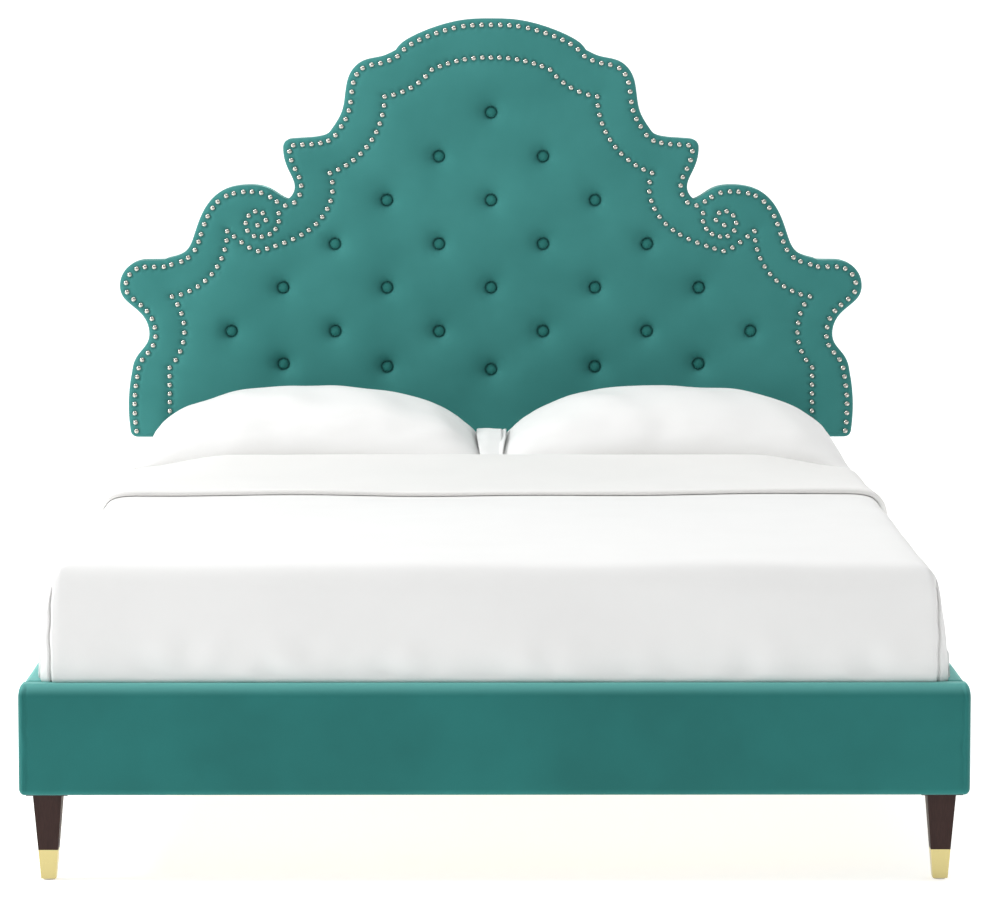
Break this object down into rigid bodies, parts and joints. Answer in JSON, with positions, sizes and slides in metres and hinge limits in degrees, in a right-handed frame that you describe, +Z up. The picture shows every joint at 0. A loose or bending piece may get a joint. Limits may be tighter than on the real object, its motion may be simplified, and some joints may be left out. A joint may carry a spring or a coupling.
{
  "type": "upholstered headboard bed",
  "caption": "Queen-size bed with a tall scrolled headboard, button-tufted and edged with nailheads, padded rails, tapered legs with brass caps, mattress, white bedding and pillows.",
  "frame": {"origin": "on the floor under the middle of the whole bed", "axes": "+Z up, +X across the bed, +Y towards the head end, so the foot end faces -Y"},
  "size_m": [1.64, 2.201, 1.482],
  "materials": {
    "velvet": "matte",
    "button_velvet": "matte",
    "pad_foam": "matte",
    "plywood": "matte",
    "dust_cloth": "matte",
    "twine": "matte",
    "nail_nickel": "polished",
    "espresso_wood": "satin",
    "frame_pine": "matte",
    "slat_birch": "satin",
    "satin_brass": "satin",
    "nylon_glide": "matte",
    "black_steel": "satin",
    "zinc_steel": "satin",
    "webbing": "matte",
    "black_plastic": "matte",
    "ticking": "matte",
    "spring_pocket": "matte",
    "sheet_cotton": "matte",
    "cover_cotton": "matte",
    "pillow_cotton": "matte"
  },
  "bodies": {
    "frame": {"beam_hanger_foot": "black_steel", "beam_hanger_head": "black_steel", "centre_beam": "frame_pine", "clamp_bolts": "zinc_steel", "clamp_nuts": "zinc_steel", "clamp_washers": "zinc_steel", "corner_bracket_foot_left": "black_steel", "corner_bracket_foot_right": "black_steel", "corner_bracket_head_left": "black_steel", "corner_bracket_head_right": "black_steel", "foot_rail_core": "frame_pine", "foot_rail_cover": "velvet", "frame_bolts": "zinc_steel", "head_rail_core": "frame_pine", "head_rail_cover": "velvet", "ledge_screws": "zinc_steel", "leg_ferrules": "satin_brass", "leg_foot_left": "espresso_wood", "leg_foot_right": "espresso_wood", "leg_glides": "nylon_glide", "leg_hanger_bolts": "zinc_steel", "leg_head_left": "espresso_wood", "leg_head_right": "espresso_wood", "side_rail_core_left": "frame_pine", "side_rail_core_right": "frame_pine", "side_rail_cover_left": "velvet", "side_rail_cover_right": "velvet", "slat_ledge_left": "frame_pine", "slat_ledge_right": "frame_pine", "slat_screws": "zinc_steel", "slat_tape_left": "webbing", "slat_tape_right": "webbing", "slats": "slat_birch", "support_leg_1": "black_steel", "support_leg_inserts": "black_plastic"},
    "headboard": {"headboard_board": "plywood", "headboard_dust_cloth": "dust_cloth", "headboard_foam": "pad_foam", "headboard_cover": "velvet", "tuft_buttons": "button_velvet", "button_twines": "twine", "outline_nails": "nail_nickel", "field_nails": "nail_nickel", "scroll_nails": "nail_nickel", "strut_left": "espresso_wood", "strut_right": "espresso_wood", "strut_screws": "zinc_steel"},
    "mattress": {"mattress_ticking": "ticking", "mattress_springs": "spring_pocket", "fitted_sheet": "sheet_cotton", "bed_cover": "cover_cotton", "turned_sheet": "sheet_cotton"},
    "pillow_left": {"pillow_left": "pillow_cotton"},
    "pillow_right": {"pillow_right": "pillow_cotton"},
    "levelling_foot_1": {"levelling_foot_1": "zinc_steel"}
  },
  "joints": [
    {"name": "headboard_height", "type": "slide", "parent": "frame", "child": "headboard", "axis": [0, 0, 1], "range_m": [-0.012, 0.06]},
    {"name": "mattress_lift", "type": "slide", "parent": "frame", "child": "mattress", "axis": [0, 0, 1], "range_m": [0, 0.3]},
    {"name": "pillow_left_lift", "type": "slide", "parent": "mattress", "child": "pillow_left", "axis": [0, 0, 1], "range_m": [0, 0.25]},
    {"name": "pillow_right_lift", "type": "slide", "parent": "mattress", "child": "pillow_right", "axis": [0, 0, 1], "range_m": [0, 0.25]},
    {"name": "levelling_screw_1", "type": "slide", "parent": "frame", "child": "levelling_foot_1", "axis": [0, 0, -1], "range_m": [0, 0.015]}
  ]
}
